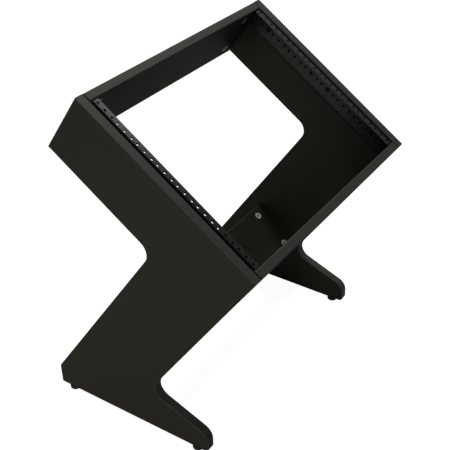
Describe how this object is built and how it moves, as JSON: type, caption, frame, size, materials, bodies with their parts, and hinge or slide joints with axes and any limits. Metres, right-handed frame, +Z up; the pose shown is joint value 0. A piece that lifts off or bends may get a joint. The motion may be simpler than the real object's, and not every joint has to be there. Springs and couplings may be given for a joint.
{
  "type": "angled rack stand",
  "caption": "Floor stand with Z-shaped side panels that hold a tilted bay for 19 inch rack equipment, with steel rack rails and screw-in levelling feet.",
  "frame": {"origin": "on the floor, under the middle of the stand's bounding box", "axes": "+X across to the right as seen from the front, +Y to the back, +Z up; the bay's face looks forward and up, towards -Y and +Z"},
  "size_m": [0.5244, 0.4466, 0.644],
  "materials": {
    "black_board": "black melamine face on particle board, fine satin",
    "edge_band": "black plastic edge band, satin",
    "rail_steel": "black powder coat",
    "zinc_cam": "bright cast zinc",
    "plated_bolt": "zinc plated",
    "dowel_wood": "plain beech",
    "black_screw": "black zinc",
    "spacer_plastic": "black moulded plastic",
    "foot_plastic": "black moulded plastic",
    "plated_stem": "zinc plated",
    "insert_brass": "plain brass"
  },
  "bodies": {
    "rack": {"bottom_board": "black_board", "bottom_cam_locks": "zinc_cam", "bottom_connecting_bolts": "plated_bolt", "bottom_dowels": "dowel_wood", "bottom_front_band": "edge_band", "bottom_rear_band": "edge_band", "front_left_foot_insert": "insert_brass", "front_right_foot_insert": "insert_brass", "left_panel_edge_band": "edge_band", "left_rack_rail": "rail_steel", "left_rail_screws": "black_screw", "left_rail_spacers": "spacer_plastic", "left_side_panel": "black_board", "rear_left_foot_insert": "insert_brass", "rear_right_foot_insert": "insert_brass", "rear_stretcher": "black_board", "right_panel_edge_band": "edge_band", "right_rack_rail": "rail_steel", "right_rail_screws": "black_screw", "right_rail_spacers": "spacer_plastic", "right_side_panel": "black_board", "stretcher_cam_locks": "zinc_cam", "stretcher_connecting_bolts": "plated_bolt", "stretcher_dowels": "dowel_wood", "stretcher_lower_band": "edge_band", "stretcher_upper_band": "edge_band", "top_board": "black_board", "top_cam_locks": "zinc_cam", "top_connecting_bolts": "plated_bolt", "top_dowels": "dowel_wood", "top_front_band": "edge_band", "top_rear_band": "edge_band"},
    "front_left_foot": {"front_left_foot_base": "foot_plastic", "front_left_foot_stem": "plated_stem"},
    "front_right_foot": {"front_right_foot_base": "foot_plastic", "front_right_foot_stem": "plated_stem"},
    "rear_left_foot": {"rear_left_foot_base": "foot_plastic", "rear_left_foot_stem": "plated_stem"},
    "rear_right_foot": {"rear_right_foot_base": "foot_plastic", "rear_right_foot_stem": "plated_stem"}
  },
  "joints": [
    {"name": "front_left_foot_slide", "type": "slide", "parent": "rack", "child": "front_left_foot", "axis": [0, 0, -1], "range_m": [0, 0.01]},
    {"name": "front_right_foot_slide", "type": "slide", "parent": "rack", "child": "front_right_foot", "axis": [0, 0, -1], "range_m": [0, 0.01]},
    {"name": "rear_left_foot_slide", "type": "slide", "parent": "rack", "child": "rear_left_foot", "axis": [0, 0, -1], "range_m": [0, 0.01]},
    {"name": "rear_right_foot_slide", "type": "slide", "parent": "rack", "child": "rear_right_foot", "axis": [0, 0, -1], "range_m": [0, 0.01]}
  ]
}
